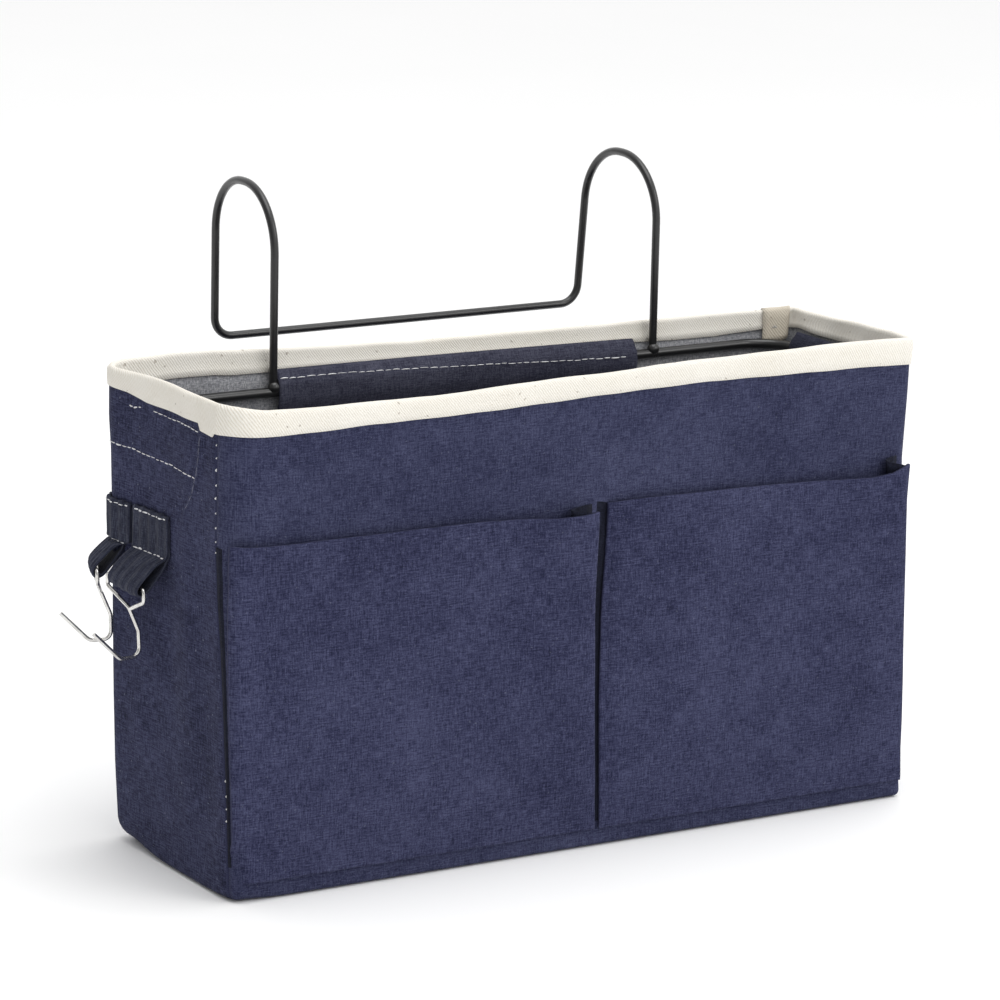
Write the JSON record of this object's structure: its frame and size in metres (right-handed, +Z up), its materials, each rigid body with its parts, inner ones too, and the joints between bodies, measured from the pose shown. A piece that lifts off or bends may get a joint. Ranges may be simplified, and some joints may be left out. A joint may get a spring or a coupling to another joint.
{
  "type": "hanging storage caddy",
  "caption": "Soft-sided hanging caddy with two front pockets, a wire double hook that reaches over a rail, and two small wire hooks on strap loops.",
  "frame": {"origin": "centre of the underside of the bag, on the surface it stands on", "axes": "+Z up, +X along the width with the strap end at -X, -Y is the pocket front, +Y is the side where the hooks reach over a rail"},
  "size_m": [0.4144, 0.1884, 0.3137],
  "materials": {
    "canvas": "woven canvas, matte",
    "strap": "folded canvas strap, matte",
    "lining": "heather cloth, matte",
    "board": "plain sheet",
    "tape": "twill tape, matte",
    "black_wire": "glossy coating",
    "bright_wire": "bright plated"
  },
  "bodies": {
    "bag": {"front_panel": "canvas", "back_panel": "canvas", "left_end_panel": "canvas", "right_end_panel": "canvas", "bottom_panel": "canvas", "left_pocket_gussets": "canvas", "right_pocket_gussets": "canvas", "back_sleeve": "canvas", "left_end_sleeve": "canvas", "right_end_sleeve": "canvas", "front_strap_tab": "strap", "rear_strap_tab": "strap", "front_lining": "lining", "back_lining": "lining", "left_end_lining": "lining", "right_end_lining": "lining", "base_lining": "lining", "front_board": "board", "back_board": "board", "left_end_board": "board", "right_end_board": "board", "base_board": "board", "rim_binding": "tape", "hook_wire": "black_wire", "rim_wire": "black_wire", "weld_beads": "black_wire"},
    "left_pocket_front": {"left_pocket": "canvas"},
    "right_pocket_front": {"right_pocket": "canvas"},
    "front_loop": {"front_strap_loop": "strap"},
    "rear_loop": {"rear_strap_loop": "strap"},
    "front_hook": {"front_side_hook": "bright_wire"},
    "rear_hook": {"rear_side_hook": "bright_wire"}
  },
  "joints": [
    {"name": "left_pocket_open", "type": "hinge", "parent": "bag", "child": "left_pocket_front", "pos_m": [-0.09175, -0.06075, 0.0107], "axis": [1, 0, 0], "range_deg": [0, 6], "stiffness_Nm_per_rad": 0.3, "deforming": ["left_pocket_gussets"]},
    {"name": "right_pocket_open", "type": "hinge", "parent": "bag", "child": "right_pocket_front", "pos_m": [0.0965, -0.06075, 0.0107], "axis": [1, 0, 0], "range_deg": [0, 6], "stiffness_Nm_per_rad": 0.3, "deforming": ["right_pocket_gussets"]},
    {"name": "front_loop_swing", "type": "hinge", "parent": "bag", "child": "front_loop", "pos_m": [-0.19223, 0.021, 0.1493], "axis": [0, 1, 0], "range_deg": [0, 60], "stiffness_Nm_per_rad": 0.01},
    {"name": "rear_loop_swing", "type": "hinge", "parent": "bag", "child": "rear_loop", "pos_m": [-0.19123, 0.05209, 0.1493], "axis": [0.3746, 0.9272, 0], "range_deg": [0, 60], "stiffness_Nm_per_rad": 0.01},
    {"name": "front_hook_swing", "type": "hinge", "parent": "front_loop", "child": "front_hook", "pos_m": [-0.20508, 0.021, 0.13815], "axis": [0, 1, 0], "range_deg": [-6, 100]},
    {"name": "rear_hook_swing", "type": "hinge", "parent": "rear_loop", "child": "rear_hook", "pos_m": [-0.20315, 0.0569, 0.13815], "axis": [0.3746, 0.9272, 0], "range_deg": [0, 100]}
  ]
}
